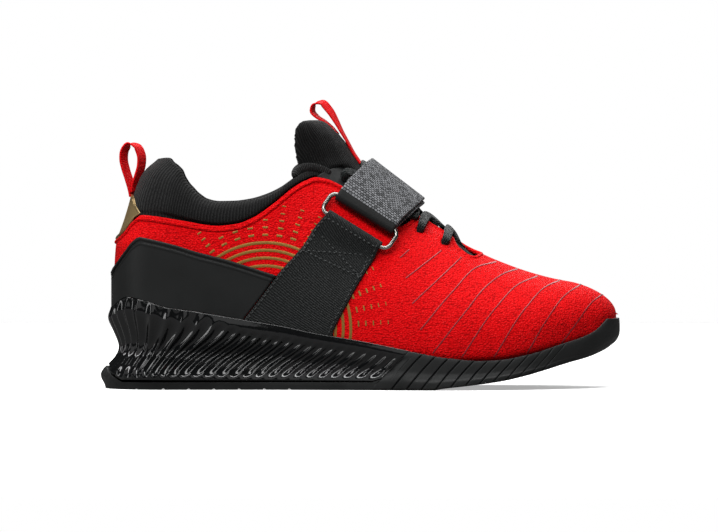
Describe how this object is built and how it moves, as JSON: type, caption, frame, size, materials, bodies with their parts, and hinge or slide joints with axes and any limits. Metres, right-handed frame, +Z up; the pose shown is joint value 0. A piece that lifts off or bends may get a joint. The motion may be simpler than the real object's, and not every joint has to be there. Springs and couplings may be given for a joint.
{
  "type": "weightlifting shoe",
  "caption": "Right weightlifting shoe with a raised ribbed heel, knit upper, laces, and an instep strap folded back through a wire ring",
  "frame": {"origin": "on the floor plane under the middle of the heel, on the flat of the heel tread", "axes": "+X to the toe, +Y to the wearer's left (the inner side of this right foot), +Z up"},
  "size_m": [0.2921, 0.108, 0.1612],
  "materials": {
    "outsole_rubber": "matte moulded rubber",
    "heel_tpu": "glossy moulded thermoplastic",
    "upper_knit": "red knitted mesh",
    "insole_cloth": "black cloth over foam",
    "tongue_knit": "black ribbed knit, padded",
    "collar_knit": "black ribbed knit, padded",
    "facing": "smooth black synthetic",
    "counter": "satin black moulded plastic",
    "strap_base": "black woven-look synthetic",
    "ring_wire": "bright wire",
    "strap_webbing": "grey herringbone webbing",
    "lace": "black flat braid",
    "ribbon": "red grosgrain ribbon",
    "heel_tab": "gold coated synthetic"
  },
  "bodies": {
    "root": {"outsole": "outsole_rubber", "midsole": "heel_tpu", "upper": "upper_knit", "insole": "insole_cloth", "tongue": "tongue_knit", "collar": "collar_knit", "facing_outer": "facing", "facing_inner": "facing", "heel_counter": "counter", "strap_base_outer": "strap_base", "strap_base_inner": "strap_base", "strap_ring": "ring_wire", "strap": "strap_webbing", "laces": "lace", "heel_loop": "ribbon", "tongue_loop": "ribbon", "heel_tab": "heel_tab"}
  },
  "joints": []
}
